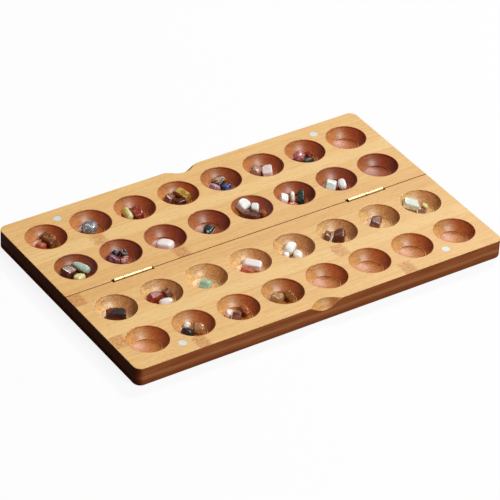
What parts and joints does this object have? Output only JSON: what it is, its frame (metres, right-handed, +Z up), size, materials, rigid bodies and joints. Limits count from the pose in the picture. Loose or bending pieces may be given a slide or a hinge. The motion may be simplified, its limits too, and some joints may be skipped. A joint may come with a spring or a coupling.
{
  "type": "folding mancala board",
  "caption": "Folding bamboo mancala board lying open, with rows of round pits, brass hinges, inset corner magnets, thumb scoops and tumbled stone pieces in the pits.",
  "frame": {"origin": "middle of the open board's underside, on the fold line", "axes": "+X to the right along the fold, +Y across the fold towards the back half, +Z up from the table"},
  "size_m": [0.408, 0.254, 0.0219],
  "materials": {
    "pale_bamboo": "clear satin lacquer over natural bamboo",
    "stained_bamboo": "brown stain under satin lacquer",
    "magnet_plating": "satin nickel plating",
    "brass": "polished",
    "screw_brass": "polished",
    "stone_pale": "tumbled and polished stone",
    "stone_green": "tumbled and polished stone",
    "stone_red": "tumbled and polished stone",
    "stone_brown": "tumbled and polished stone",
    "stone_grey": "tumbled and polished stone",
    "stone_dark": "tumbled and polished stone"
  },
  "bodies": {
    "back_half": {"back_upper_panel": "pale_bamboo", "back_lower_panel": "stained_bamboo", "back_left_magnet": "magnet_plating", "back_right_magnet": "magnet_plating", "left_hinge_back_leaf": "brass", "left_hinge_back_screws": "screw_brass", "left_hinge_pin": "brass", "right_hinge_back_leaf": "brass", "right_hinge_back_screws": "screw_brass", "right_hinge_pin": "brass", "stones_back_outer_1": "stone_brown", "stones_back_outer_2": "stone_grey", "stones_back_outer_3": "stone_red", "stones_back_outer_4": "stone_brown", "stones_back_outer_5": "stone_dark", "stones_back_outer_6": "stone_pale", "stones_back_outer_7": "stone_red", "stones_back_inner_1": "stone_green", "stones_back_inner_2": "stone_red", "stones_back_inner_3": "stone_pale", "stones_back_inner_4": "stone_dark", "stones_back_inner_5": "stone_pale", "stones_back_inner_6": "stone_pale", "stones_back_inner_7": "stone_pale"},
    "front_half": {"front_upper_panel": "pale_bamboo", "front_lower_panel": "stained_bamboo", "front_left_magnet": "magnet_plating", "front_right_magnet": "magnet_plating", "left_hinge_front_leaf": "brass", "left_hinge_front_screws": "screw_brass", "right_hinge_front_leaf": "brass", "right_hinge_front_screws": "screw_brass", "stones_front_inner_1": "stone_dark", "stones_front_inner_2": "stone_red", "stones_front_inner_3": "stone_green", "stones_front_inner_4": "stone_pale", "stones_front_inner_5": "stone_pale", "stones_front_inner_6": "stone_brown", "stones_front_inner_7": "stone_brown", "stones_front_inner_8": "stone_green", "stones_front_outer_2": "stone_dark", "stones_front_outer_3": "stone_brown", "stones_front_outer_4": "stone_brown"}
  },
  "joints": [
    {"name": "fold", "type": "hinge", "parent": "back_half", "child": "front_half", "pos_m": [0, 0, 0.0202], "axis": [-1, 0, 0], "range_deg": [0, 180]}
  ]
}
